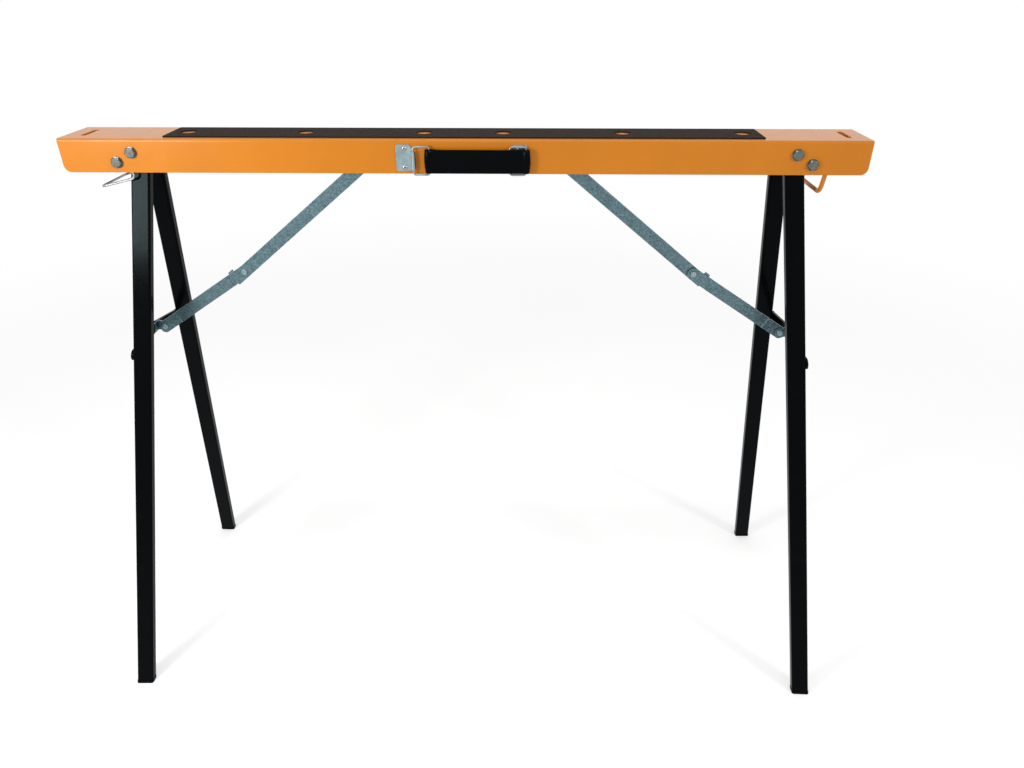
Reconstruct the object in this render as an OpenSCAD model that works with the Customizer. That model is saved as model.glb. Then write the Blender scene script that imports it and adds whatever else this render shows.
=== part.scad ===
// Folding builders trestle: a pressed steel beam on two splayed pairs of tube legs.
// X runs along the beam, the carry handle is on the -Y side, Z is up and the floor is at 0.
// The right end is the left end turned half round, but its legs stand in the outer lanes,
// so that the two pairs lie beside each other in the channel when they are folded.

/* [Beam] */
// Length of the beam's top
beam_length = 1000; // [960:10:1200]
// Width over the side walls
beam_width = 80; // [80:1:92]
// Height of the side walls
beam_depth = 41; // [40:1:46]
// Height of the beam's top above the floor
beam_top = 788; // [740:4:840]
// Thickness of the pressed sheet
sheet = 1.2; // [1:0.1:1.4]
// Outer radius of the long bends along the top
bend_r = 3; // [2:0.5:5]
// How far the end of a side wall slants in at the bottom
end_slant = 0.8; // [0.4:0.2:8]
// Radius of the lower corners of the side walls
end_r = 9; // [6:0.5:12]
// Width of the slot near each end of the top
slot_wide = 7; // [5:0.5:10]
// Length of that slot, across the beam
slot_long = 40; // [30:1:50]
// Distance of the slot from the end of the top
slot_inset = 23; // [18:1:30]

/* [Anti-slip strip] */
// Length of the strip
strip_length = 744; // [720:4:800]
// Width of the strip
strip_width = 60; // [50:1:66]
// Thickness of the strip
strip_thick = 1.5; // [1:0.1:3]
// Diameter of the round holes in the strip
strip_hole_d = 20; // [12:1:26]
// Distance of the first holes from the middle
strip_hole_first = 50; // [40:1:60]
// Distance of the last holes from the ends of the strip
strip_hole_edge = 22; // [18:1:40]

/* [Legs] */
// Depth of the leg tube, along the beam
tube_deep = 24; // [22:0.5:25]
// Width of the leg tube, across the beam
tube_wide = 12.5; // [11:0.1:12.6]
// Wall of the leg tube
tube_wall = 1.2; // [1:0.1:1.6]
// Corner radius of the leg tube
tube_r = 2.5; // [2:0.1:3]
// Outward lean of the legs, in degrees
lean = 7; // [6:0.25:8]
// Distance of the feet from the middle plane
foot_spread = 185; // [170:1:200]
// Distance of the left legs from the middle plane, at the pivot
inner_lane = 13.5; // [13.3:0.1:13.6]
// Distance of the right legs from the middle plane, at the pivot
outer_lane = 26.9; // [26.8:0.1:27]
// Distance of the leg's centre line from the pivot, towards the middle of the beam
leg_offset = 2; // [1:0.25:2]
// Height of the sole of a foot plug
sole_high = 4; // [3:0.5:8]
// How far the sole stands out round the tube
sole_lip = 0.5; // [0.3:0.1:0.6]
// How far the plug reaches up into the tube, from the floor
plug_high = 26; // [18:1:40]

/* [Leg bolts] */
// Thread diameter of the bolts
bolt_d = 8; // [6:0.5:8]
// Distance of the pivot bolts from the ends of the beam
pivot_inset = 89.5; // [85:0.5:95]
// Depth of the pivot bolts below the top
pivot_drop = 16.5; // [16:0.25:17.5]
// Distance of the stop bolts from the pivot bolts, towards the end
stop_out = 20; // [19:0.5:23]
// Depth of the stop bolts below the pivot bolts
stop_down = 12; // [10:0.5:13]
// Width across the flats of heads and nuts
hex_wide = 12; // [10:0.5:13]
// Height of a bolt head above its flange
head_high = 3.6; // [3:0.2:5]
// Diameter of the flange under a head
flange_d = 14.5; // [14:0.5:18]
// Thickness of that flange
flange_thick = 1.4; // [1:0.1:2]
// Height of a lock nut
nut_high = 7.5; // [6:0.5:9]
// Diameter of the sleeves and spacers on the pivot bolts
sleeve_d = 13; // [12:0.5:14]

/* [Stays] */
// Width of the stay links
link_wide = 17; // [15:0.5:18]
// Thickness of the stay links
link_thick = 2; // [1.6:0.1:2.2]
// Step of the lower link at each end of its middle
joggle = 0.9; // [0.7:0.1:1.2]
// Length of the flat tongue at each end of the lower link, from the rivet
tongue = 25; // [22:1:30]
// Length of the sloping step between tongue and middle
joggle_run = 2.5; // [2:0.25:4]
// Distance of the stay's foot from the pivot, down the legs
foot_along = 256; // [252:1:260]
// Distance of the knee from the pivot, towards the middle of the beam
knee_in = 101; // [98:1:104]
// Depth of the knee below the pivot
knee_down = 169; // [166:1:172]
// Distance of the stay's top from the pivot, towards the middle of the beam
stay_top_in = 286; // [280:1:292]
// Depth of the stay's top below the pivot
stay_top_down = 17; // [15:0.5:19]
// Diameter of the pins and rivets of the stay
pin_d = 6; // [5:0.5:7]
// Diameter of the bore of the hollow rivets
rivet_bore = 3.2; // [2.5:0.1:3.6]
// Thickness of the heads of pins and rivets
rivet_head = 1; // [0.8:0.1:1.2]
// How far the heads of the hollow rivets stand out round the pin
rivet_lip = 0.8; // [0.6:0.1:1.4]
// How far the upper link runs past the knee
tail = 19; // [16:1:21]
// Length of the stop tab on that tail
tab_long = 7; // [5:0.5:9]
// Thickness of the stop tab
tab_thick = 2.2; // [1.8:0.1:3]
// Thickness of the bracket plates
ear_thick = 1.5; // [1.2:0.1:1.6]
// Width of the spreader bar, down the legs
spreader_wide = 16; // [14:0.5:20]
// Drop of the spreader bar from its middle to the legs
spreader_drop = 12; // [8:0.5:14]
// Step in from the spreader bar's round ends to its arms
spreader_waist = 0.8; // [0.6:0.1:1.5]
// Thickness of the spreader bar
spreader_thick = 3; // [2.5:0.25:4]

/* [Handle] */
// Depth of the middle of the handle below the top
handle_drop = 24.5; // [24:0.5:25]
// Distance of the ring hinges from the middle of the beam
hinge_out = 59.5; // [56:0.5:62]
// Width of a handle plate
plate_wide = 19; // [18:0.5:22]
// Height of a handle plate
plate_high = 32; // [30:0.5:32]
// How far the middle of a plate lies above the middle of its ring
plate_up = 3; // [2:0.25:3.5]
// Thickness of a handle plate
plate_thick = 1.5; // [1.2:0.1:2]
// Cut outer corners of a handle plate
plate_corner = 2; // [1:0.5:5]
// Length of the rolled knuckle
knuckle_high = 22; // [18:0.5:24]
// Diameter of the ring wire
ring_d = 2.4; // [2:0.1:2.6]
// Height of a ring, from wire centre to wire centre
ring_high = 33.6; // [33.6:0.2:35]
// Reach of a ring, from its hinge to its outer bar
ring_reach = 19.5; // [18.5:0.25:21]
// Bend radius of a ring
ring_r = 3; // [2.6:0.1:3]
// Height of the strap
strap_high = 28.5; // [26:0.5:28.5]
// Thickness of the strap's front
strap_thick = 2; // [1.6:0.1:2.6]
// Thickness of the strap behind a ring bar
strap_back = 1.2; // [1:0.1:1.5]
// Width of the loop at each end of the strap
loop_wide = 9; // [8:0.25:9.5]
// Diameter of a handle rivet's head
handle_head_d = 7; // [6:0.25:7.5]
// Diameter of a handle rivet's shank
handle_shank_d = 4; // [3:0.2:4.8]
// Height of a handle rivet's head
handle_head_high = 1.6; // [1.2:0.1:1.8]
// Distance of a handle rivet from the middle of its plate, up or down
handle_rivet_up = 11.5; // [9:0.25:11.75]

/* [Hook and bail] */
// Diameter of the hook rod
hook_d = 5.5; // [4:0.5:6]
// Distance of the hook's cross bar from the end of the beam
hook_inset = 54; // [52:1:58]
// Depth of the hook's cross bar below the top
hook_drop = 63; // [58:0.5:66]
// Outward tilt of the hook's arms, in degrees
hook_tilt = 9; // [6:1:14]
// Length of the hook's arms
hook_arm = 46; // [40:1:48]
// Bend radius of the hook
hook_r = 8; // [6:0.5:10]
// Diameter of the bail wire
bail_d = 3; // [2.5:0.1:3.2]
// Distance of the bail's hinge from the end of the beam
bail_inset = 82; // [80:1:84]
// Depth of the bail's hinge below the top
bail_drop = 36; // [35:0.25:36]
// Length of the short steep part below the hinge
bail_hang = 13.5; // [12:0.5:16]
// Length of the sloping arms, from the steep part to the cross bar
bail_arm = 48; // [45:0.5:52]
// Dip of the arms below level, in degrees
bail_dip = 13.6; // [11:0.2:16]
// Bend radius between steep part and arm
bail_knee_r = 5; // [4:0.5:6]
// Bend radius at the cross bar
bail_r = 8; // [6:0.5:12]
// Thickness of the lugs that carry the bail
bail_lug = 2; // [1.8:0.1:2.2]
// Diameter of those lugs
bail_lug_d = 8.6; // [7:0.2:9]

/* [Hidden] */
$fn = 48;

// Room between moving faces, running clearance of a pin, and overrun of every cut
play = 0.3;
fit = 0.05;
over = 2;

orange = [0.93, 0.52, 0.12];
black = [0.07, 0.07, 0.08];
grit = [0.2, 0.18, 0.17];
zinc = [0.68, 0.7, 0.69];
rubber = [0.05, 0.05, 0.05];

half_length = beam_length / 2;
half_width = beam_width / 2;
inner_half = half_width - sheet;
under_top = beam_top - sheet;

pivot_x = half_length - pivot_inset;
pivot_z = beam_top - pivot_drop;
stop_x = pivot_x + stop_out;
stop_z = pivot_z - stop_down;

strip_hole_step = (strip_length / 2 - strip_hole_edge - strip_hole_first) / 2;

// Legs: run to the floor, splay of each pair, bolt hole that lets the legs rock
leg_run = pivot_z / cos(lean);
leg_long = leg_run * 1.1;
leg_face = tube_deep / 2 - leg_offset;
leg_top_r = tube_deep / 2 + leg_offset;
crown_r = leg_top_r - tube_wall;
inner_splay = atan((foot_spread - inner_lane) / leg_run);
outer_splay = atan((foot_spread - outer_lane) / leg_run);

function rock_d(splay) = bolt_d / cos(splay) + tube_wide * tan(splay) + 2 * play;
function side_reach(splay) = tube_wide / 2 / cos(splay) + sleeve_d / 2 * tan(splay) + play;

// The stop sleeve bears on the outer faces of the legs
stop_n = stop_out * cos(lean) - stop_down * sin(lean);
stop_r = stop_n - leg_face - play;

// Stay of the left end: [x, z] of foot, knee and top
foot_pt = [
    -pivot_x - foot_along * sin(lean) + leg_offset * cos(lean),
    pivot_z - foot_along * cos(lean) - leg_offset * sin(lean)
];
knee_pt = [-pivot_x + knee_in, pivot_z - knee_down];
top_pt = [-pivot_x + stay_top_in, pivot_z - stay_top_down];
upper_long = norm(top_pt - knee_pt);
lower_long = norm(foot_pt - knee_pt);
upper_turn = atan2(top_pt[1] - knee_pt[1], top_pt[0] - knee_pt[0]);
lower_turn = atan2(foot_pt[1] - knee_pt[1], foot_pt[0] - knee_pt[0]);
knee_bend = upper_turn + 180 - (lower_turn + 360);

// Layers of the stay: the lower link's tongue lies in the middle, the upper link in front
upper_y = -link_thick - play;
link_end_r = link_wide / 2;
tongue_half = link_thick / 2;
pin_bore = pin_d + 2 * fit;
foot_front = 2 * joggle - tongue_half - fit;
ear_in = 2 * joggle + tongue_half + play;
ear_out = ear_in + ear_thick;
ear_r = 7;
web_wide = 16;
ear_back = leg_offset + leg_face + play - ear_thick;
bracket_wide = 16;

// Handle: hinge line and strap, counted out from the beam's front
ring_out = half_width + plate_thick + play + strap_back + play + ring_d / 2;
knuckle_d = ring_d + 2 * fit + 2 * plate_thick - play;
band_out = ring_out + knuckle_d / 2 + play;
strap_rear = half_width + plate_thick + play;
handle_z = beam_top - handle_drop;
plate_z = handle_z + plate_up;
rivet_x = hinge_out + ring_reach - (loop_wide + handle_head_d) / 2 - play - 2 * fit;
hook_half = inner_half - hook_d / 2 - fit;
bail_half = inner_half - bail_lug - play - bail_d / 2;

// A rectangle with round corners, about its middle
module round_rect(w, h, r) {
    square([w - 2 * r, h], center = true);
    square([w, h - 2 * r], center = true);
    for (x = [-1, 1], y = [-1, 1])
        translate([x * (w / 2 - r), y * (h / 2 - r)]) circle(r);
}

// A rod along Y between two places
module rod_y(d, y0, y1) {
    translate([0, y0, 0]) rotate([-90, 0, 0]) cylinder(d = d, h = y1 - y0);
}

// A round tube along Y between two places
module tube_y(d, bore, y0, y1) {
    difference() {
        rod_y(d, y0, y1);
        rod_y(bore, y0 - over, y1 + over);
    }
}

// A low dome on the plane Z = 0
module dome(d, h) {
    big_r = (d * d / 4 + h * h) / (2 * h);
    intersection() {
        translate([0, 0, h - big_r]) sphere(big_r, $fn = 96);
        cylinder(d = d + over, h = h + over);
    }
}

// A quarter bend of wire about the origin, from the +X to the +Y side
module bend(r, d) {
    rotate_extrude(angle = 90) translate([r, 0]) circle(d = d, $fn = 24);
}

// Frames: one end of the trestle, the legs' plane with -Z down the legs, and one leg
module at_end(turn) {
    rotate([0, 0, turn]) children();
}

module in_legs_plane() {
    translate([-pivot_x, 0, pivot_z]) rotate([0, lean, 0]) children();
}

module on_leg(side, lane, splay) {
    in_legs_plane() translate([0, side * lane, 0]) rotate([side * splay, 0, 0]) children();
}

module at_foot() {
    in_legs_plane() translate([leg_offset, 0, -foot_along]) children();
}

// X runs from one point of the stay to another
module along(from, turn) {
    translate([from[0], 0, from[1]]) rotate([0, -turn, 0]) children();
}

module plan(thick, y) {
    translate([0, y, 0]) rotate([90, 0, 0]) linear_extrude(thick, center = true) children();
}

module above_floor(z0, z1) {
    translate([-beam_length, -beam_length, z0])
        cube([2 * beam_length, 2 * beam_length, z1 - z0]);
}

// Side view of the beam, with slanted ends and round lower corners
module beam_side() {
    slant = atan(end_slant / beam_depth);
    cx = half_length - end_slant * (beam_depth - end_r) / beam_depth - end_r / cos(slant);
    out = 2 * end_r * [cos(slant), -sin(slant)];
    down = 2 * end_r * [0, -1];
    low = half_length - end_slant;
    difference() {
        polygon([[-half_length, 0], [half_length, 0], [low, -beam_depth], [-low, -beam_depth]]);
        for (m = [0, 1]) mirror([m, 0]) translate([cx, end_r - beam_depth]) difference() {
            polygon([[0, 0], out, out + down, down]);
            circle(end_r);
        }
    }
}

// Cross-section of the channel
module channel(half, top, r) {
    difference() {
        translate([-half, -beam_depth - over]) square([2 * half, beam_depth + over + top]);
        for (s = [-1, 1]) translate([s * half, top]) difference() {
            square(2 * r, center = true);
            translate([-s * r, -r]) circle(r);
        }
    }
}

module beam() {
    color(orange) difference() {
        intersection() {
            translate([0, 0, beam_top]) rotate([90, 0, 0])
                linear_extrude(beam_width + over, center = true) beam_side();
            translate([-half_length - over, 0, beam_top]) rotate([90, 0, 90])
                linear_extrude(beam_length + 2 * over) difference() {
                    channel(half_width, 0, bend_r);
                    translate([0, -over]) channel(inner_half, over - sheet, bend_r - sheet);
                }
        }
        for (s = [-1, 1]) {
            for (p = [[pivot_x, pivot_z], [stop_x, stop_z]])
                translate([s * p[0], 0, p[1]])
                    rod_y(bolt_d + 2 * fit, -half_width - over, half_width + over);
            for (u = [-1, 1])
                translate([s * rivet_x, 0, plate_z + u * handle_rivet_up])
                    rod_y(handle_shank_d + 2 * fit, -half_width - over, -inner_half + over);
            translate([s * (half_length - slot_inset), 0, under_top - over])
                linear_extrude(sheet + 2 * over)
                    round_rect(slot_wide, slot_long, slot_wide / 2 - fit);
        }
    }
}

module grip_strip() {
    color(grit) translate([0, 0, beam_top]) linear_extrude(strip_thick) difference() {
        round_rect(strip_length, strip_width, strip_thick);
        for (s = [-1, 1], i = [0 : 2])
            translate([s * (strip_hole_first + i * strip_hole_step), 0]) circle(d = strip_hole_d);
    }
}

module bolt_places() {
    for (s = [-1, 1], p = [[pivot_x, pivot_z], [stop_x, stop_z]])
        translate([s * p[0], 0, p[1]]) children();
}

module through_bolts() {
    color(zinc) bolt_places() {
        rod_y(bolt_d, -half_width - flange_thick, half_width + nut_high + over);
        rod_y(flange_d, -half_width - flange_thick, -half_width);
        translate([0, -half_width - flange_thick, 0]) rotate([90, 0, 0]) intersection() {
            cylinder(d = hex_wide / cos(30), h = head_high, $fn = 6);
            cylinder(
                d1 = hex_wide / cos(30) + 2 * flange_thick, d2 = hex_wide - flange_thick, h = head_high
            );
        }
    }
}

module lock_nuts() {
    collar = nut_high / 3;
    color(zinc) bolt_places() difference() {
        union() {
            translate([0, half_width, 0]) rotate([-90, 0, 0])
                cylinder(d = hex_wide / cos(30), h = nut_high - collar, $fn = 6);
            rod_y(hex_wide - flange_thick, half_width + nut_high - collar, half_width + nut_high);
        }
        rod_y(bolt_d + 2 * fit, half_width - over, half_width + nut_high + over);
    }
}

module stop_sleeves() {
    color(zinc) for (s = [-1, 1]) translate([s * stop_x, 0, stop_z])
        tube_y(2 * stop_r, bolt_d + 2 * fit, -inner_half, inner_half);
}

module pivot_spacers() {
    color(zinc) for (e = [[-1, inner_lane, inner_splay], [1, outer_lane, outer_splay]], s = [0, 180])
        translate([e[0] * pivot_x, 0, pivot_z]) rotate([0, 0, s])
            tube_y(sleeve_d, bolt_d + 2 * fit, e[1] + side_reach(e[2]), inner_half);
}

// The U-bracket under the top sheet that carries the top of a stay
module stay_bracket() {
    inner = link_thick / 2 + play;
    outer = inner + ear_thick;
    rise = under_top - top_pt[1];
    translate([top_pt[0], upper_y, top_pt[1]]) {
        for (s = [-1, 1]) plan(ear_thick, s * (inner + ear_thick / 2)) difference() {
            union() {
                circle(d = bracket_wide);
                translate([-bracket_wide / 2, 0]) square([bracket_wide, rise]);
            }
            circle(d = pin_bore);
        }
        translate([-bracket_wide / 2, -outer, rise - ear_thick])
            cube([bracket_wide, 2 * outer, ear_thick]);
    }
}

module stay_brackets() {
    color(zinc) for (turn = [0, 180]) at_end(turn) stay_bracket();
}

module stay_pins() {
    reach = link_thick / 2 + play + ear_thick;
    color(zinc) for (turn = [0, 180]) at_end(turn) translate([top_pt[0], upper_y, top_pt[1]]) {
        rod_y(pin_d, -reach, reach);
        rod_y(pin_d + link_thick, -reach - rivet_head, -reach);
        rod_y(pin_d + link_thick, reach, reach + rivet_head);
    }
}

module hook_rod() {
    cross = hook_half - hook_r;
    color(orange) translate([half_length - hook_inset, 0, beam_top - hook_drop])
        rotate([0, hook_tilt, 0]) {
            rod_y(hook_d, -cross, cross);
            for (s = [0, 180]) rotate([0, 0, s]) {
                translate([0, cross, hook_r]) rotate([0, 90, 0]) bend(hook_r, hook_d);
                translate([0, hook_half, hook_r]) cylinder(d = hook_d, h = hook_arm - hook_r);
            }
        }
}

module bail_lugs() {
    color(zinc) translate([-half_length + bail_inset, 0, beam_top - bail_drop])
        for (s = [0, 180]) rotate([0, 0, s])
            tube_y(bail_lug_d, bail_d + 2 * fit, inner_half - bail_lug, inner_half);
}

module wire_bail() {
    cross = bail_half - bail_r;
    color(zinc) translate([-half_length + bail_inset, 0, beam_top - bail_drop])
        rotate([0, 180 - bail_dip, 0]) {
            translate([bail_arm, 0, bail_hang]) rod_y(bail_d, -cross, cross);
            for (s = [-1, 1]) mirror([0, s > 0 ? 0 : 1, 0]) {
                translate([bail_arm - bail_r, cross, bail_hang]) bend(bail_r, bail_d);
                translate([0, bail_half, 0]) {
                    sphere(d = bail_d);
                    rod_y(bail_d, 0, inner_half - bail_half - play);
                    cylinder(d = bail_d, h = bail_hang - bail_knee_r);
                    translate([bail_knee_r, 0, bail_hang]) rotate([0, 90, 0])
                        cylinder(d = bail_d, h = bail_arm - bail_knee_r - bail_r);
                    translate([bail_knee_r, 0, bail_hang - bail_knee_r]) mirror([1, 0, 0])
                        rotate([90, 0, 0]) bend(bail_knee_r, bail_d);
                }
            }
        }
}

// A handle plate with its rolled knuckle, for the left side
module handle_plate() {
    near = hinge_out + knuckle_d / 2;
    far = near + plate_wide;
    top = plate_up + plate_high / 2;
    low = plate_up - plate_high / 2;
    translate([0, -half_width, handle_z]) {
        difference() {
            union() {
                plan(plate_thick, -plate_thick / 2) polygon([
                    [-hinge_out, -knuckle_high / 2], [-hinge_out, knuckle_high / 2],
                    [-near - plate_corner, top], [-far + plate_corner, top],
                    [-far, top - plate_corner], [-far, low + plate_corner],
                    [-far + plate_corner, low], [-near - plate_corner, low]
                ]);
                translate([-hinge_out, half_width - ring_out, -knuckle_high / 2])
                    cylinder(d = knuckle_d, h = knuckle_high);
                translate([-near, half_width - ring_out, -knuckle_high / 2])
                    cube([plate_thick, ring_out - half_width, knuckle_high]);
            }
            translate([-hinge_out, half_width - ring_out, -knuckle_high])
                cylinder(d = ring_d + 2 * fit, h = 2 * knuckle_high);
            for (u = [-1, 1]) translate([-rivet_x, 0, plate_up + u * handle_rivet_up])
                rod_y(handle_shank_d + 2 * fit, -plate_thick - over, over);
        }
    }
}

module left_handle_plate() {
    color(zinc) handle_plate();
}

module right_handle_plate() {
    color(zinc) mirror([1, 0, 0]) handle_plate();
}

module handle_rivets() {
    color(zinc) for (s = [-1, 1], u = [-1, 1])
        translate([s * rivet_x, 0, plate_z + u * handle_rivet_up]) {
            translate([0, -half_width - plate_thick, 0]) rotate([90, 0, 0])
                dome(handle_head_d, handle_head_high);
            rod_y(handle_shank_d, -half_width - plate_thick, -inner_half);
            rod_y(handle_head_d - strap_thick, -inner_half, -inner_half + rivet_head);
        }
}

// A ring of bent wire that points to +X from its hinge
module handle_ring(hinge_x) {
    up = ring_high / 2 - ring_r;
    translate([hinge_x, -ring_out, handle_z]) {
        for (x = [0, ring_reach]) translate([x, 0, -up]) cylinder(d = ring_d, h = 2 * up);
        for (z = [-1, 1]) translate([ring_r, 0, z * ring_high / 2]) rotate([0, 90, 0])
            cylinder(d = ring_d, h = ring_reach - 2 * ring_r);
        for (x = [0, 1], z = [0, 1]) mirror([0, 0, z])
            translate([x == 1 ? ring_reach - ring_r : ring_r, 0, up]) mirror([1 - x, 0, 0])
                rotate([90, 0, 0]) bend(ring_r, ring_d);
    }
}

module left_handle_ring() {
    color(zinc) handle_ring(-hinge_out);
}

module right_handle_ring() {
    color(zinc) handle_ring(hinge_out);
}

// The strap: a flat band with a loop round the outer bar of each ring
module handle_strap() {
    deep = band_out + strap_thick - strap_rear;
    hollow = band_out - strap_rear - strap_back;
    wall = strap_thick - play;
    color(rubber) translate([ring_reach, 0, handle_z - strap_high / 2]) linear_extrude(strap_high) {
        translate([-hinge_out, -band_out - strap_thick]) square([2 * hinge_out, strap_thick]);
        for (s = [-1, 1]) translate([s * hinge_out, 0]) difference() {
            translate([0, -strap_rear - deep / 2]) round_rect(loop_wide, deep, strap_thick);
            translate([0, -strap_rear - strap_back - hollow / 2])
                round_rect(loop_wide - 2 * wall, hollow, strap_back);
        }
    }
}

module pivot_sleeve(lane, splay) {
    reach = lane - side_reach(splay);
    color(zinc) translate([-pivot_x, 0, pivot_z])
        tube_y(sleeve_d, bolt_d + 2 * fit, -reach, reach);
}

module leg(side, lane, splay) {
    color(black) intersection() {
        on_leg(side, lane, splay) difference() {
            intersection() {
                translate([leg_offset, 0, -leg_long]) linear_extrude(leg_long + leg_top_r) difference() {
                    round_rect(tube_deep, tube_wide, tube_r);
                    round_rect(tube_deep - 2 * tube_wall, tube_wide - 2 * tube_wall, tube_r - tube_wall);
                }
                union() {
                    intersection() {
                        rod_y(2 * leg_top_r, -tube_wide, tube_wide);
                        translate([-tube_deep, 0, 0]) rotate([0, 90, 0])
                            cylinder(r = crown_r, h = 2 * tube_deep);
                    }
                    translate([-tube_deep, -tube_wide, -leg_long - over])
                        cube([2 * tube_deep, 2 * tube_wide, leg_long + over]);
                }
            }
            rod_y(rock_d(splay), -tube_wide, tube_wide);
        }
        above_floor(sole_high, 2 * beam_top);
    }
}

module foot(side, lane, splay) {
    hole = tube_wall + fit;
    color(rubber) {
        intersection() {
            on_leg(side, lane, splay) translate([leg_offset, 0, -leg_long]) linear_extrude(leg_long)
                round_rect(tube_deep + 2 * sole_lip, tube_wide + 2 * sole_lip, tube_r + sole_lip);
            above_floor(0, sole_high);
        }
        intersection() {
            on_leg(side, lane, splay) translate([leg_offset, 0, -leg_long]) linear_extrude(leg_long)
                round_rect(tube_deep - 2 * hole, tube_wide - 2 * hole, tube_r - hole);
            above_floor(sole_high / 2, plug_high);
        }
    }
}

// Upper link of the stay, with the tail and the stop tab past the knee
module upper_link() {
    tab_up = link_end_r / cos(knee_bend) + tail * tan(knee_bend) + play;
    color(zinc) along(knee_pt, upper_turn) {
        plan(link_thick, upper_y) difference() {
            union() {
                translate([-tail, -link_end_r]) square([tail + upper_long, link_wide]);
                translate([upper_long, 0]) circle(link_end_r);
                translate([-tail, 0]) square([tab_long, tab_up + tab_thick]);
            }
            for (x = [0, upper_long]) translate([x, 0]) circle(d = pin_bore);
        }
        translate([-tail, upper_y, tab_up])
            cube([tab_long, tongue_half - upper_y, tab_thick]);
    }
}

module knee_rivet() {
    front = upper_y - tongue_half;
    head_d = pin_d + 2 * rivet_lip;
    color(zinc) along(knee_pt, upper_turn) difference() {
        union() {
            rod_y(pin_d, front, tongue_half + play);
            rod_y(head_d, front - rivet_head, front);
            rod_y(head_d, tongue_half + play, tongue_half + play + rivet_head);
        }
        rod_y(rivet_bore, front - over, tongue_half + over);
    }
}

// Lower link: a flat bar with a step at each end and cut corners at the foot
module lower_link() {
    tip = lower_long + link_end_r;
    cut = link_end_r / 2;
    far = lower_long - tongue;
    side = [
        [-link_wide, 0], [tongue, 0], [tongue + joggle_run, joggle],
        [far - joggle_run, joggle], [far, 2 * joggle], [tip + over, 2 * joggle]
    ];
    color(zinc) along(knee_pt, lower_turn) difference() {
        intersection() {
            translate([0, 0, -link_wide]) linear_extrude(2 * link_wide) polygon(concat(
                [for (q = side) [q[0], q[1] - tongue_half]],
                [for (i = [len(side) - 1 : -1 : 0]) [side[i][0], side[i][1] + tongue_half]]
            ));
            plan(2 * link_wide, 0) {
                polygon([
                    [0, -link_end_r], [tip - cut, -link_end_r], [tip, -cut],
                    [tip, cut], [tip - cut, link_end_r], [0, link_end_r]
                ]);
                circle(link_end_r);
            }
        }
        for (x = [0, lower_long]) translate([x, 0, 0]) rod_y(pin_bore, -link_wide, link_wide);
    }
}

// Bracket at the foot of the stay: an ear behind the link and the web that carries the spreader
module foot_bracket() {
    color(zinc) at_foot() {
        plan(ear_thick, ear_in + ear_thick / 2) difference() {
            union() {
                circle(ear_r);
                translate([-ear_back, -ear_r]) square([ear_back, 2 * ear_r]);
            }
            circle(d = pin_bore);
        }
        translate([-ear_back - ear_thick, -web_wide / 2, -ear_r])
            cube([ear_thick, web_wide, 2 * ear_r]);
    }
}

// Hollow rivet through link and ear, with a thin head in front
module foot_rivet() {
    thin = joggle;
    head_d = pin_d + 2 * rivet_lip;
    color(zinc) at_foot() difference() {
        union() {
            rod_y(pin_d, foot_front, ear_out);
            rod_y(head_d, foot_front - thin, foot_front);
            rod_y(head_d, ear_out, ear_out + rivet_head);
        }
        rod_y(rivet_bore, -over - link_thick, ear_out + over);
    }
}

// The bar across the outer faces of both legs: it drops from its middle to a rivet at each end
module spreader(lane, splay) {
    reach = lane + foot_along * tan(splay);
    slope = atan(spreader_drop / reach);
    half = spreader_wide / 2;
    arm = half - spreader_waist;
    up = arm / cos(slope);
    tilt = arm * [sin(slope), cos(slope)];
    color(black) at_foot() translate([-ear_back - ear_thick - spreader_thick, 0, 0]) {
        rotate([90, 0, 90]) linear_extrude(spreader_thick) {
            polygon([
                [0, up], [reach + tilt[0], tilt[1] - spreader_drop],
                [reach - tilt[0], -tilt[1] - spreader_drop], [0, -up],
                [tilt[0] - reach, -tilt[1] - spreader_drop], [-reach - tilt[0], tilt[1] - spreader_drop]
            ]);
            for (s = [-1, 1]) translate([s * reach, -spreader_drop]) circle(half);
        }
        for (s = [-1, 1]) translate([0, s * reach, -spreader_drop]) rotate([0, -90, 0])
            dome(arm, rivet_head + fit);
    }
}

module left_pivot_sleeve() pivot_sleeve(inner_lane, inner_splay);
module left_front_leg() leg(-1, inner_lane, inner_splay);
module left_rear_leg() leg(1, inner_lane, inner_splay);
module left_front_foot() foot(-1, inner_lane, inner_splay);
module left_rear_foot() foot(1, inner_lane, inner_splay);
module left_upper_link() upper_link();
module left_knee_rivet() knee_rivet();
module left_lower_link() lower_link();
module left_foot_bracket() foot_bracket();
module left_foot_rivet() foot_rivet();
module left_spreader() spreader(inner_lane, inner_splay);

module right_pivot_sleeve() at_end(180) pivot_sleeve(outer_lane, outer_splay);
module right_front_leg() at_end(180) leg(1, outer_lane, outer_splay);
module right_rear_leg() at_end(180) leg(-1, outer_lane, outer_splay);
module right_front_foot() at_end(180) foot(1, outer_lane, outer_splay);
module right_rear_foot() at_end(180) foot(-1, outer_lane, outer_splay);
module right_upper_link() at_end(180) upper_link();
module right_knee_rivet() at_end(180) knee_rivet();
module right_lower_link() at_end(180) lower_link();
module right_foot_bracket() at_end(180) foot_bracket();
module right_foot_rivet() at_end(180) foot_rivet();
module right_spreader() at_end(180) spreader(outer_lane, outer_splay);

beam();
grip_strip();
through_bolts();
lock_nuts();
stop_sleeves();
pivot_spacers();
stay_brackets();
stay_pins();
hook_rod();
bail_lugs();
wire_bail();
left_handle_plate();
right_handle_plate();
handle_rivets();
left_handle_ring();
right_handle_ring();
handle_strap();
left_pivot_sleeve();
left_front_leg();
left_rear_leg();
left_front_foot();
left_rear_foot();
left_upper_link();
left_knee_rivet();
left_lower_link();
left_foot_bracket();
left_foot_rivet();
left_spreader();
right_pivot_sleeve();
right_front_leg();
right_rear_leg();
right_front_foot();
right_rear_foot();
right_upper_link();
right_knee_rivet();
right_lower_link();
right_foot_bracket();
right_foot_rivet();
right_spreader();
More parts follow.
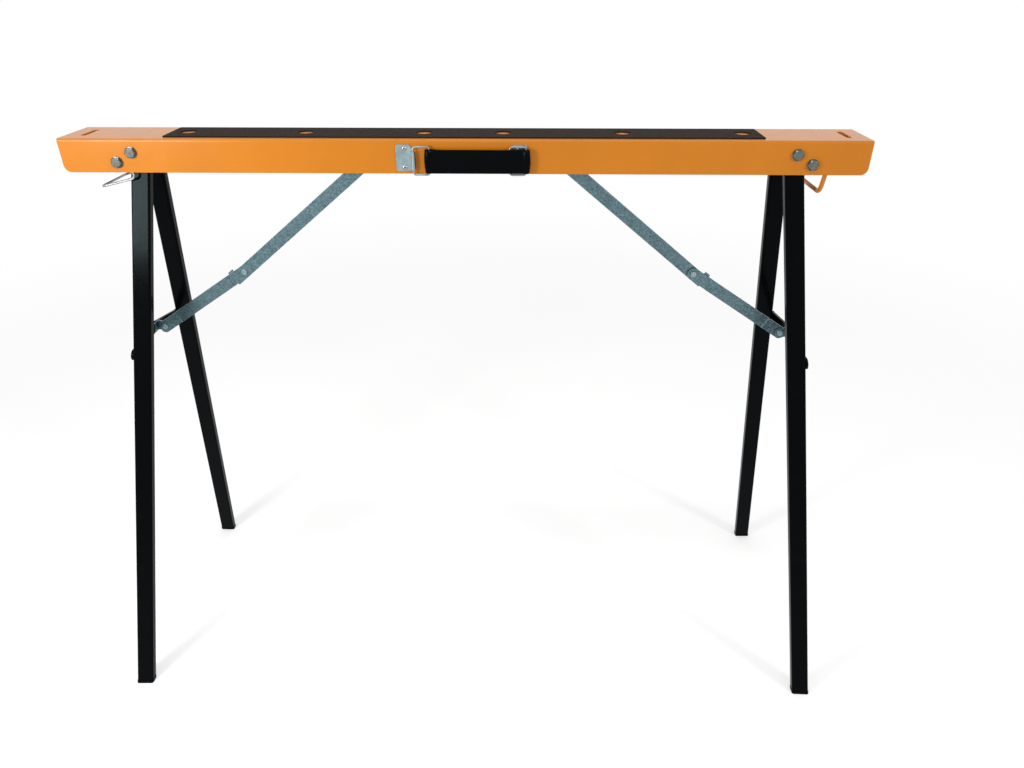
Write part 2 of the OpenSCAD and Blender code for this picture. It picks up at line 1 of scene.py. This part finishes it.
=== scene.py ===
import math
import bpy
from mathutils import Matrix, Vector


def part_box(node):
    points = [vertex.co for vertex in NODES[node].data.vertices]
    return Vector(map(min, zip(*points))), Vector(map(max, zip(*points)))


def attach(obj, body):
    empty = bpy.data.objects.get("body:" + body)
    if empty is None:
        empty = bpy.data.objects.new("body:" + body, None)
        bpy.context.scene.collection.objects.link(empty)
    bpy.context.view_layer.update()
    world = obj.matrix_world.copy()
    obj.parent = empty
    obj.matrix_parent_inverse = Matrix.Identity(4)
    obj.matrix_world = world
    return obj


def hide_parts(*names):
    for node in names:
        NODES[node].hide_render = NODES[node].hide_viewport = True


bl_info = {
    "name": "Folding builders trestle",
    "version": (1, 0, 0),
    "blender": (4, 5, 0),
    "location": "3D View > Sidebar > Trestle",
    "description": "Dresses a folding steel trestle with its finishes, strap and studio",
    "category": "Object",
}

import bmesh
import bpy
from bpy.props import FloatProperty, FloatVectorProperty, PointerProperty
from bpy.types import Operator, Panel, PropertyGroup
from mathutils import Matrix, Vector

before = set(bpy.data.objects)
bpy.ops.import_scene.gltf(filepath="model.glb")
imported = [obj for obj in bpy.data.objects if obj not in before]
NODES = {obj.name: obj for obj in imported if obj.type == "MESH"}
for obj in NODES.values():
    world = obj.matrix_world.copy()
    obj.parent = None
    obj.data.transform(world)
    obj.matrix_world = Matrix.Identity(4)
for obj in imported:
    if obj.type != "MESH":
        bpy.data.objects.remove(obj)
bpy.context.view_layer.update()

# The photograph's frame, and the focal length that its perspective gives, in its pixels
PHOTO_WIDTH_PX = 1024
PHOTO_FOCAL_PX = 770
SENSOR_MM = 36.0

# Colour of the floor, the light that lifts it towards white, and the distances from its
# middle between which it fades out to plain white
PAPER = (0.86, 0.86, 0.86, 1.0)
FLOOR_LIFT = 0.46
FLOOR_FADE = (0.9, 2.6)
WHITE = (1.0, 1.0, 1.0, 1.0)
# Lamps: place, what they look at, width and height, power in watts
LAMPS = {
    "key": ((-0.82, -0.85, 0.88), (-0.45, 0.0, 0.75), (0.32, 0.32), 6.2),
    "fill": ((1.9, -1.6, 1.4), (0.3, 0.0, 0.6), (0.4, 0.4), 12.0),
    "strip": ((0.0, -0.38, 2.1), (0.0, 0.0, 0.5), (1.6, 0.14), 3.6),
    "top": ((0.0, 0.9, 2.8), (0.0, 0.0, 0.5), (2.0, 2.0), 4.0),
}

# Start of the names of the finishes
PREFIX = "trestle_"
# Tint of the sheen on black enamel and rubber
SHEEN = (0.68, 0.92, 1.0, 1.0)
# Rounding of the edges that the finishes show, and how finely it is worked out
EDGE_RADIUS = 0.0005
EDGE_SAMPLES = 4
# Radius of a handle rivet's head, and the radii between which the painted shade of its hole fades out
RIVET_RADIUS = 0.0035
RIVET_HOLE_SHADE = (0.0009, 0.0012)
# Plated steels: the setting that holds their colour, and their roughness
STEELS = {
    "bright_steel": ("steel", 0.36),
    "plate_steel": ("plate", 0.3),
    "bolt_steel": ("bolt", 0.22),
}

# Steps of the strap's mesh: along the band, across it and round each loop
BAND_STEPS = 8
BAND_ROWS = 8
LOOP_STEPS = 16
# Shares of the bulge that the steps from a loop to the band take up
EASE_SHARES = (0.35, 0.65)
# Points of the strap that are closer than this are one
MERGE = 1e-6
# Rounded edges of new pieces: their segments, and their share of a tab's thickness
EDGE_SEGMENTS = 2
TAB_ROUNDING = 0.25

ENDS = ("left", "right")
SIDES = ("front", "rear")
ORANGE_NODES = ("beam", "hook_rod")
STAY_NODES = ("upper_link", "lower_link", "foot_bracket")
RIVET_NODES = ("knee_rivet", "foot_rivet")
FITTINGS = {
    "bright_steel": (
        "stop_sleeves",
        "pivot_spacers",
        "stay_pins",
        "bail_lugs",
        "wire_bail",
        "left_handle_ring",
        "right_handle_ring",
        "left_pivot_sleeve",
        "right_pivot_sleeve",
    ),
    "plate_steel": ("left_handle_plate", "right_handle_plate"),
    "rivet_steel": ("handle_rivets",),
    "bolt_steel": ("through_bolts", "lock_nuts"),
}


class TrestleFinish(PropertyGroup):
    """Colours of the trestle's finishes."""

    orange: FloatVectorProperty(
        name="Orange enamel",
        description="Colour of the painted beam and hook",
        subtype="COLOR",
        default=(0.74, 0.236, 0.006),
    )
    black: FloatVectorProperty(
        name="Black enamel",
        description="Colour of the painted legs and spreaders",
        subtype="COLOR",
        default=(0.0012, 0.0013, 0.0016),
    )
    zinc: FloatVectorProperty(
        name="Zinc plate",
        description="Colour of the galvanised stays",
        subtype="COLOR",
        default=(0.125, 0.20, 0.225),
    )
    steel: FloatVectorProperty(
        name="Bright steel",
        description="Colour of rivets, sleeves and wire",
        subtype="COLOR",
        default=(0.36, 0.39, 0.39),
    )
    plate: FloatVectorProperty(
        name="Handle plates",
        description="Colour of the handle's plates and the stays' rivets",
        subtype="COLOR",
        default=(0.33, 0.43, 0.45),
    )
    bolt: FloatVectorProperty(
        name="Bolts",
        description="Colour of the bolts and nuts",
        subtype="COLOR",
        default=(0.16, 0.172, 0.160),
    )
    grip: FloatVectorProperty(
        name="Grip coating",
        description="Colour of the anti-slip strip",
        subtype="COLOR",
        default=(0.0150, 0.0092, 0.0064),
    )
    rubber: FloatVectorProperty(
        name="Black rubber",
        description="Colour of the strap and the feet",
        subtype="COLOR",
        default=(0.0012, 0.0013, 0.0016),
    )


class TrestleStrap(PropertyGroup):
    """Sizes of the carry strap."""

    thickness: FloatProperty(
        name="Thickness",
        description="Thickness of the strap material",
        unit="LENGTH",
        default=0.0016,
    )
    tuck: FloatProperty(
        name="Tuck",
        description="Length of the end that is turned back behind the band",
        unit="LENGTH",
        default=0.010,
    )
    bulge: FloatProperty(
        name="Bulge",
        description="How far the loops stand out in front of the band",
        unit="LENGTH",
        default=0.0016,
    )
    crown: FloatProperty(
        name="Crown",
        description="How far the middle of the band stands out before its edges",
        unit="LENGTH",
        default=0.0012,
    )
    ease: FloatProperty(
        name="Ease",
        description="Length over which a loop runs into the band",
        unit="LENGTH",
        default=0.003,
    )
    edge: FloatProperty(
        name="Edge radius",
        description="Rounding of the strap's edges",
        unit="LENGTH",
        default=0.0005,
    )


class TrestleTabs(PropertyGroup):
    """Sizes of the tabs that are turned down at the end slots."""

    inset: FloatProperty(
        name="Inset",
        description="Distance of the slot's outer edge from the end of the top",
        unit="LENGTH",
        default=0.0195,
    )
    length: FloatProperty(
        name="Length",
        description="Length of a tab, across the beam",
        unit="LENGTH",
        default=0.034,
    )
    depth: FloatProperty(
        name="Depth",
        description="How far a tab hangs below the sheet",
        unit="LENGTH",
        default=0.006,
    )
    thickness: FloatProperty(
        name="Thickness",
        description="Thickness of the sheet",
        unit="LENGTH",
        default=0.0012,
    )


class TrestleStudio(PropertyGroup):
    """Camera and light of the studio."""

    place: FloatVectorProperty(
        name="Camera place",
        description="Where the camera stands",
        subtype="TRANSLATION",
        unit="LENGTH",
        default=(0.0828, -1.0049, 0.9746),
    )
    pitch: FloatProperty(
        name="Pitch",
        description="How far the camera looks down",
        subtype="ANGLE",
        default=0.4978,
    )
    yaw: FloatProperty(
        name="Yaw",
        description="How far the camera turns to the left",
        subtype="ANGLE",
        default=0.022,
    )
    roll: FloatProperty(
        name="Roll",
        description="How far the camera leans to its side",
        subtype="ANGLE",
        default=-0.0012,
    )
    floor_size: FloatProperty(
        name="Floor size",
        description="Width of the plain floor",
        unit="LENGTH",
        default=80.0,
    )
    sky: FloatProperty(
        name="Sky light",
        description="Strength of the even light from all round",
        default=0.43,
    )


def finish_settings():
    return bpy.context.scene.trestle_finish


class Finish:
    """A node material on Object coordinates: plain values, and calls that vary them."""

    def __init__(self, name, colour, roughness, metallic=0.0):
        self.base = tuple(colour)
        self.material = bpy.data.materials.new(PREFIX + name)
        self.material.use_nodes = True
        self.nodes = self.material.node_tree.nodes
        self.links = self.material.node_tree.links
        self.shader = self.nodes["Principled BSDF"]
        self.set(Metallic=metallic, Roughness=roughness, Base_Color=(*self.base, 1.0))
        self.place = self.nodes.new("ShaderNodeTexCoord").outputs["Object"]
        edge = self.nodes.new("ShaderNodeBevel")
        edge.samples = EDGE_SAMPLES
        edge.inputs["Radius"].default_value = EDGE_RADIUS
        self.links.new(edge.outputs["Normal"], self.shader.inputs["Normal"])

    def set(self, **sockets):
        for name, value in sockets.items():
            self.shader.inputs[name.replace("_", " ")].default_value = value

    def shade(self, factor):
        """The finish's own colour, darkened below 1 and lightened above."""
        return tuple(min(1.0, channel * factor) for channel in self.base)

    def noise(self, scale, detail=3.0):
        noise = self.nodes.new("ShaderNodeTexNoise")
        noise.inputs["Scale"].default_value = scale
        noise.inputs["Detail"].default_value = detail
        self.links.new(self.place, noise.inputs["Vector"])
        return noise.outputs["Fac"]

    def cells(self, scale):
        cells = self.nodes.new("ShaderNodeTexVoronoi")
        cells.inputs["Scale"].default_value = scale
        self.links.new(self.place, cells.inputs["Vector"])
        split = self.nodes.new("ShaderNodeSeparateColor")
        self.links.new(cells.outputs["Color"], split.inputs["Color"])
        return split.outputs["Red"]

    def corner_distance(self, node, inset):
        """Distance, seen from the front, to the nearest of four spots set in from a node's corners."""
        low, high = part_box(node)
        middle, reach = (low + high) / 2, (high - low) / 2
        centred = self.nodes.new("ShaderNodeMapping")
        centred.inputs["Location"].default_value = (-middle.x, 0.0, -middle.z)
        centred.inputs["Scale"].default_value = (1.0, 0.0, 1.0)
        self.links.new(self.place, centred.inputs["Vector"])
        folded = self.nodes.new("ShaderNodeVectorMath")
        folded.operation = "ABSOLUTE"
        self.links.new(centred.outputs["Vector"], folded.inputs[0])
        away = self.nodes.new("ShaderNodeVectorMath")
        away.operation = "DISTANCE"
        self.links.new(folded.outputs["Vector"], away.inputs[0])
        away.inputs[1].default_value = (reach.x - inset, 0.0, reach.z - inset)
        return away.outputs["Value"]

    def span(self, value, low=0.0, high=1.0, start=0.0, end=1.0):
        """A value from start to end, stretched to run from low to high."""
        change = self.nodes.new("ShaderNodeMapRange")
        change.inputs["From Min"].default_value = start
        change.inputs["From Max"].default_value = end
        change.inputs["To Min"].default_value = low
        change.inputs["To Max"].default_value = high
        self.links.new(value, change.inputs["Value"])
        return change.outputs["Result"]

    def mix(self, factor, first, second):
        """A colour between two: first where the factor is 0, second where it is 1."""
        mix = self.nodes.new("ShaderNodeMix")
        mix.data_type = "RGBA"
        self.links.new(factor, mix.inputs["Factor"])
        spots = [s for s in mix.inputs if s.type == "RGBA"]
        for spot, colour in zip(spots, (first, second)):
            if isinstance(colour, bpy.types.NodeSocket):
                self.links.new(colour, spot)
            else:
                spot.default_value = (*colour, 1.0)
        return [s for s in mix.outputs if s.type == "RGBA"][0]

    def mottle(self, pattern, first, second):
        """Colours the finish between two shades of itself, as a pattern goes from 0 to 1."""
        self.colour(self.mix(pattern, self.shade(first), self.shade(second)))

    def colour(self, value):
        self.links.new(value, self.shader.inputs["Base Color"])

    def roughness(self, value):
        self.links.new(value, self.shader.inputs["Roughness"])

    def bump(self, value, strength, distance):
        bump = self.nodes.new("ShaderNodeBump")
        bump.inputs["Strength"].default_value = strength
        bump.inputs["Distance"].default_value = distance
        self.links.new(value, bump.inputs["Height"])
        last = self.shader.inputs["Normal"]
        if last.is_linked:
            self.links.new(last.links[0].from_socket, bump.inputs["Normal"])
        self.links.new(bump.outputs["Normal"], last)


def make_orange_enamel(name):
    coat = Finish(name, finish_settings().orange, roughness=0.3)
    coat.mottle(coat.span(coat.noise(scale=9.0), start=0.35, end=0.65), first=0.96, second=1.04)
    coat.roughness(coat.span(coat.noise(scale=55.0), low=0.21, high=0.30))
    coat.bump(coat.noise(scale=520.0, detail=2.0), strength=0.08, distance=0.0004)
    coat.set(Specular_IOR_Level=0.35)
    return coat.material


def make_black_enamel(name):
    coat = Finish(name, finish_settings().black, roughness=0.16)
    dust = coat.span(coat.noise(scale=38.0, detail=7.0), high=0.35, start=0.56, end=0.8)
    coat.mottle(dust, first=1.0, second=4.0)
    coat.roughness(coat.span(coat.noise(scale=80.0), low=0.10, high=0.24))
    coat.bump(coat.noise(scale=420.0, detail=2.0), strength=0.07, distance=0.0004)
    coat.set(Specular_IOR_Level=0.04, Specular_Tint=SHEEN)
    return coat.material


def make_zinc_plate(name):
    coat = Finish(name, finish_settings().zinc, roughness=0.38, metallic=1.0)
    spangle = coat.mix(coat.cells(scale=760.0), coat.shade(0.6), coat.shade(1.4))
    blotch = coat.span(coat.noise(scale=85.0, detail=6.0), high=0.55, start=0.42, end=0.72)
    coat.colour(coat.mix(blotch, spangle, coat.shade(0.72)))
    coat.roughness(coat.span(coat.cells(scale=640.0), low=0.30, high=0.46))
    coat.bump(coat.noise(scale=900.0), strength=0.10, distance=0.0003)
    return coat.material


def make_steel(name):
    """Plated steel, bright or dull, by its colour and roughness."""
    setting, rough = STEELS[name]
    coat = Finish(name, getattr(finish_settings(), setting), rough, metallic=1.0)
    cloud = coat.span(coat.noise(scale=160.0, detail=5.0), start=0.35, end=0.7)
    coat.mottle(cloud, first=0.82, second=1.1)
    patches = coat.noise(scale=240.0, detail=4.0)
    coat.roughness(coat.span(patches, low=0.75 * rough, high=1.35 * rough))
    coat.bump(coat.noise(scale=900.0, detail=2.0), strength=0.06, distance=0.0002)
    return coat.material


def make_rivet_steel(name):
    """Bright steel with painted shade in the middle of its head, where a pulled rivet has its hole."""
    coat = Finish(name, finish_settings().steel, roughness=0.3, metallic=1.0)
    inner, outer = RIVET_HOLE_SHADE
    away = coat.corner_distance("handle_rivets", RIVET_RADIUS)
    # Painted shade: the middle of each rivet head is darkened to 0.12 of the steel's colour, standing
    # in for the shade inside its hole
    coat.mottle(coat.span(away, start=inner, end=outer), first=0.12, second=1.0)
    coat.roughness(coat.span(coat.noise(scale=240.0, detail=4.0), low=0.22, high=0.40))
    return coat.material


def make_grip_coating(name):
    coat = Finish(name, finish_settings().grip, roughness=0.8)
    grain = coat.noise(scale=1500.0, detail=2.0)
    coat.mottle(coat.span(grain, start=0.4, end=0.7), first=1.0, second=2.0)
    coat.roughness(coat.span(grain, low=0.62, high=0.92))
    coat.bump(grain, strength=0.5, distance=0.0012)
    coat.bump(coat.cells(scale=900.0), strength=0.22, distance=0.0008)
    coat.set(Specular_IOR_Level=0.1)
    return coat.material


def make_black_rubber(name):
    coat = Finish(name, finish_settings().rubber, roughness=0.3)
    coat.mottle(coat.noise(scale=45.0, detail=5.0), first=0.8, second=1.6)
    coat.roughness(coat.span(coat.noise(scale=120.0), low=0.10, high=0.22))
    coat.bump(coat.noise(scale=300.0, detail=2.0), strength=0.06, distance=0.0005)
    coat.set(Specular_IOR_Level=0.05, Specular_Tint=SHEEN)
    return coat.material


MAKERS = {
    "orange_enamel": make_orange_enamel,
    "black_enamel": make_black_enamel,
    "zinc_plate": make_zinc_plate,
    "rivet_steel": make_rivet_steel,
    "grip_coating": make_grip_coating,
    "black_rubber": make_black_rubber,
    **dict.fromkeys(STEELS, make_steel),
}


def finish(name):
    """The finish of that name, made when it is first asked for."""
    return bpy.data.materials.get(PREFIX + name) or MAKERS[name](name)


def paint(node, name):
    """Gives a CAD node a finish."""
    mesh = NODES[node].data
    mesh.materials.clear()
    mesh.materials.append(finish(name))


def add_object(name, mesh, material):
    """Makes an object of a bmesh, at the origin, with one material."""
    data = bpy.data.meshes.new(name)
    mesh.to_mesh(data)
    mesh.free()
    data.materials.append(material)
    obj = bpy.data.objects.new(name, data)
    bpy.context.scene.collection.objects.link(obj)
    return obj


def round_edges(piece, width):
    """Rounds the sharp edges of a new piece."""
    soft = piece.modifiers.new("edges", "BEVEL")
    soft.width = width
    soft.segments = EDGE_SEGMENTS
    soft.limit_method = "ANGLE"


class TRESTLE_OT_beam(Operator):
    """Paints the beam and the hook with orange enamel"""

    bl_idname = "trestle.beam"
    bl_label = "Beam and Hook"

    def execute(self, context):
        for node in ORANGE_NODES:
            paint(node, "orange_enamel")
        return {"FINISHED"}


class TRESTLE_OT_slot_tabs(Operator):
    """Hangs a turned-down tab at the outer edge of each end slot"""

    bl_idname = "trestle.slot_tabs"
    bl_label = "Slot Tabs"

    def execute(self, context):
        tabs = context.scene.trestle_tabs
        size = (tabs.thickness, tabs.length, tabs.depth)
        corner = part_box("beam")[1]
        height = corner.z - tabs.thickness - tabs.depth / 2
        for end, way in zip(ENDS, (-1, 1)):
            edge = (corner.x - tabs.inset) * way
            middle = (edge + way * tabs.thickness / 2, 0.0, height)
            mesh = bmesh.new()
            bmesh.ops.create_cube(mesh, size=1.0)
            bmesh.ops.scale(mesh, vec=size, verts=mesh.verts)
            bmesh.ops.translate(mesh, vec=middle, verts=mesh.verts)
            piece = add_object(f"{end}_slot_tab", mesh, finish("orange_enamel"))
            round_edges(piece, tabs.thickness * TAB_ROUNDING)
            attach(piece, "beam")
        return {"FINISHED"}


class TRESTLE_OT_legs(Operator):
    """Paints the legs and spreaders black and makes the feet of rubber"""

    bl_idname = "trestle.legs"
    bl_label = "Legs and Feet"

    def execute(self, context):
        for end in ENDS:
            paint(f"{end}_spreader", "black_enamel")
            for side in SIDES:
                paint(f"{end}_{side}_leg", "black_enamel")
                paint(f"{end}_{side}_foot", "black_rubber")
        return {"FINISHED"}


class TRESTLE_OT_stays(Operator):
    """Galvanises the folding stays"""

    bl_idname = "trestle.stays"
    bl_label = "Folding Stays"

    def execute(self, context):
        paint("stay_brackets", "zinc_plate")
        for end in ENDS:
            for node in STAY_NODES:
                paint(f"{end}_{node}", "zinc_plate")
            for node in RIVET_NODES:
                paint(f"{end}_{node}", "plate_steel")
        return {"FINISHED"}


class TRESTLE_OT_fittings(Operator):
    """Finishes bolts, sleeves, handle plates, rivets, rings and the bail in plated steel"""

    bl_idname = "trestle.fittings"
    bl_label = "Steel Fittings"

    def execute(self, context):
        for name, nodes in FITTINGS.items():
            for node in nodes:
                paint(node, name)
        return {"FINISHED"}


class TRESTLE_OT_grip_strip(Operator):
    """Gives the strip on the beam its gritty coating"""

    bl_idname = "trestle.grip_strip"
    bl_label = "Grip Strip"

    def execute(self, context):
        paint("grip_strip", "grip_coating")
        return {"FINISHED"}


def ring_bar_x(end):
    """X of a ring's outer bar, which the strap goes round: both rings point to +X."""
    low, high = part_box(f"{end}_handle_ring")
    wire = high.y - low.y
    return high.x - wire / 2


def turn_back(mesh, edges, centre):
    """Turns upright edges half round an upright line and returns the new end edges."""
    made = bmesh.ops.spin(
        mesh,
        geom=[*edges, *{v for e in edges for v in e.verts}],
        cent=centre,
        axis=(0.0, 0.0, 1.0),
        dvec=(0.0, 0.0, 0.0),
        angle=math.pi,
        steps=LOOP_STEPS,
        use_merge=False,
        use_duplicate=False,
    )
    return [e for e in made["geom_last"] if isinstance(e, bmesh.types.BMEdge)]


def pull(mesh, edges, offset):
    """Extrudes upright edges and returns the new ones."""
    made = bmesh.ops.extrude_edge_only(mesh, edges=edges)
    fresh = [v for v in made["geom"] if isinstance(v, bmesh.types.BMVert)]
    bmesh.ops.translate(mesh, verts=fresh, vec=offset)
    return [
        e
        for e in made["geom"]
        if isinstance(e, bmesh.types.BMEdge) and all(v in fresh for v in e.verts)
    ]


def strap_surface(strap):
    """The middle surface of the strap, from one turned-back end to the other."""
    low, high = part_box("handle_strap")
    half = strap.thickness / 2
    back, band = high.y - half, low.y + half
    front = band - strap.bulge
    middle = (back + front) / 2
    tail = band + strap.thickness
    left, right = (ring_bar_x(end) for end in ENDS)
    mesh = bmesh.new()
    column = []
    for row in range(BAND_ROWS + 1):
        share = row / BAND_ROWS
        swell = strap.crown * (1 - (2 * share - 1) ** 2)
        height = low.z + (high.z - low.z) * share
        column.append(mesh.verts.new((left + strap.tuck, tail + swell, height)))
    edges = [mesh.edges.new(pair) for pair in zip(column, column[1:])]
    edges = pull(mesh, edges, (-strap.tuck, back - tail, 0.0))
    edges = turn_back(mesh, edges, (left, middle, low.z))
    ease = strap.ease / len(EASE_SHARES)
    for share in EASE_SHARES:
        edges = pull(mesh, edges, (ease, strap.bulge * share, 0.0))
    reach = (right - left - 2 * strap.ease) / BAND_STEPS
    for _ in range(BAND_STEPS):
        edges = pull(mesh, edges, (reach, 0.0, 0.0))
    for share in reversed(EASE_SHARES):
        edges = pull(mesh, edges, (ease, -strap.bulge * share, 0.0))
    edges = turn_back(mesh, edges, (right, middle, low.z))
    pull(mesh, edges, (-strap.tuck, tail - back, 0.0))
    bmesh.ops.remove_doubles(mesh, verts=mesh.verts, dist=MERGE)
    bmesh.ops.recalc_face_normals(mesh, faces=mesh.faces)
    return mesh


class TRESTLE_OT_handle_strap(Operator):
    """Makes the carry strap: one band, turned back round the bar of each ring"""

    bl_idname = "trestle.handle_strap"
    bl_label = "Carry Strap"

    def execute(self, context):
        strap = context.scene.trestle_strap
        piece = add_object("carry_strap", strap_surface(strap), finish("black_rubber"))
        for face in piece.data.polygons:
            face.use_smooth = True
        solid = piece.modifiers.new("thickness", "SOLIDIFY")
        solid.thickness = strap.thickness
        solid.offset = 0.0
        round_edges(piece, strap.edge)
        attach(piece, "strap")
        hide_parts("handle_strap")
        return {"FINISHED"}


def combine(tree, operation, first, second):
    """A Math node on a socket and a second socket or number."""
    node = tree.nodes.new("ShaderNodeMath")
    node.operation = operation
    tree.links.new(first, node.inputs[0])
    if isinstance(second, bpy.types.NodeSocket):
        tree.links.new(second, node.inputs[1])
    else:
        node.inputs[1].default_value = second
    return node.outputs["Value"]


def seen_directly(tree):
    """1 where the camera, a reflection or a look through glass meets the surface."""
    path = tree.nodes.new("ShaderNodeLightPath")
    seen = path.outputs["Is Camera Ray"]
    for ray in ("Is Glossy Ray", "Is Transmission Ray"):
        seen = combine(tree, "MAXIMUM", seen, path.outputs[ray])
    return seen


def distance_fade(tree, start, end):
    """Runs smoothly from 0 to 1 between two distances from the object's origin."""
    place = tree.nodes.new("ShaderNodeTexCoord")
    away = tree.nodes.new("ShaderNodeVectorMath")
    away.operation = "LENGTH"
    tree.links.new(place.outputs["Object"], away.inputs[0])
    fade = tree.nodes.new("ShaderNodeMapRange")
    fade.interpolation_type = "SMOOTHSTEP"
    fade.inputs["From Min"].default_value = start
    fade.inputs["From Max"].default_value = end
    tree.links.new(away.outputs["Value"], fade.inputs["Value"])
    return fade.outputs["Result"]


def make_floor_material():
    """A pale floor that keeps the object's shadow near by and shows as white further off."""
    material = bpy.data.materials.new("floor")
    material.use_nodes = True
    tree = material.node_tree
    nodes, links = tree.nodes, tree.links
    nodes.clear()
    seen = seen_directly(tree)
    paper = nodes.new("ShaderNodeBsdfDiffuse")
    paper.inputs["Color"].default_value = PAPER
    glow = nodes.new("ShaderNodeEmission")
    links.new(combine(tree, "MULTIPLY", seen, FLOOR_LIFT), glow.inputs["Strength"])
    near = nodes.new("ShaderNodeAddShader")
    links.new(paper.outputs["BSDF"], near.inputs[0])
    links.new(glow.outputs["Emission"], near.inputs[1])
    far = nodes.new("ShaderNodeEmission")
    share = combine(tree, "MULTIPLY", seen, distance_fade(tree, *FLOOR_FADE))
    mix = nodes.new("ShaderNodeMixShader")
    links.new(share, mix.inputs["Fac"])
    links.new(near.outputs["Shader"], mix.inputs[1])
    links.new(far.outputs["Emission"], mix.inputs[2])
    out = nodes.new("ShaderNodeOutputMaterial")
    links.new(mix.outputs["Shader"], out.inputs["Surface"])
    return material


def make_sky(strength):
    """Even white light that shows as white where the camera or a reflection sees it."""
    world = bpy.data.worlds.new("studio")
    world.use_nodes = True
    tree = world.node_tree
    sky = tree.nodes["Background"]
    sky.inputs["Color"].default_value = WHITE
    level = tree.nodes.new("ShaderNodeMapRange")
    level.inputs["To Min"].default_value = strength
    level.inputs["To Max"].default_value = 1.0
    tree.links.new(seen_directly(tree), level.inputs["Value"])
    tree.links.new(level.outputs["Result"], sky.inputs["Strength"])
    bpy.context.scene.world = world


def add_camera(studio):
    """A camera that stands and looks as the photograph's did."""
    camera = bpy.data.cameras.new("camera")
    camera.sensor_width = SENSOR_MM
    camera.lens = SENSOR_MM * PHOTO_FOCAL_PX / PHOTO_WIDTH_PX
    camera.clip_end = studio.floor_size * 2
    eye = bpy.data.objects.new("camera", camera)
    eye.location = studio.place
    turn = Matrix.Rotation(studio.yaw, 3, "Z")
    tilt = Matrix.Rotation(math.pi / 2 - studio.pitch, 3, "X")
    lean = Matrix.Rotation(studio.roll, 3, "Z")
    eye.rotation_euler = (turn @ tilt @ lean).to_euler()
    bpy.context.scene.collection.objects.link(eye)
    bpy.context.scene.camera = eye


def add_lamp(name, place, aim, size, power):
    """An area lamp, as wide and high as size says, that looks at aim."""
    lamp = bpy.data.lights.new(name, "AREA")
    lamp.shape = "ELLIPSE"
    lamp.size, lamp.size_y = size
    lamp.energy = power
    obj = bpy.data.objects.new(name, lamp)
    obj.location = place
    obj.rotation_euler = (Vector(aim) - Vector(place)).to_track_quat("-Z", "Y").to_euler()
    bpy.context.scene.collection.objects.link(obj)


class TRESTLE_OT_studio(Operator):
    """Sets up the camera, the plain floor and the soft light"""

    bl_idname = "trestle.studio"
    bl_label = "Studio"

    def execute(self, context):
        studio = context.scene.trestle_studio
        add_camera(studio)
        mesh = bmesh.new()
        bmesh.ops.create_grid(mesh, x_segments=1, y_segments=1, size=studio.floor_size / 2)
        floor = add_object("floor", mesh, make_floor_material())
        make_sky(studio.sky)
        for name, lamp in LAMPS.items():
            add_lamp(name, *lamp)
        context.scene.view_settings.view_transform = "Standard"
        return {"FINISHED"}


class TRESTLE_PT_panel(Panel):
    """Lists the steps that dress the trestle"""

    bl_idname = "TRESTLE_PT_panel"
    bl_label = "Trestle"
    bl_space_type = "VIEW_3D"
    bl_region_type = "UI"
    bl_category = "Trestle"

    def draw(self, context):
        for step in STEPS:
            self.layout.operator(step.bl_idname)
        for group in GROUPS:
            settings = getattr(context.scene, group)
            for name in settings.__annotations__:
                self.layout.prop(settings, name)


STEPS = (
    TRESTLE_OT_studio,
    TRESTLE_OT_beam,
    TRESTLE_OT_slot_tabs,
    TRESTLE_OT_grip_strip,
    TRESTLE_OT_legs,
    TRESTLE_OT_stays,
    TRESTLE_OT_fittings,
    TRESTLE_OT_handle_strap,
)
GROUPS = {
    "trestle_finish": TrestleFinish,
    "trestle_strap": TrestleStrap,
    "trestle_tabs": TrestleTabs,
    "trestle_studio": TrestleStudio,
}
CLASSES = (*GROUPS.values(), *STEPS, TRESTLE_PT_panel)


def register():
    for cls in CLASSES:
        bpy.utils.register_class(cls)
    for name, group in GROUPS.items():
        setattr(bpy.types.Scene, name, PointerProperty(type=group))


def unregister():
    for name in GROUPS:
        delattr(bpy.types.Scene, name)
    for cls in reversed(CLASSES):
        bpy.utils.unregister_class(cls)


def main():
    register()
    for step in STEPS:
        name = step.bl_idname.split(".")[1]
        getattr(bpy.ops.trestle, name)()


if __name__ == "__main__":
    main()
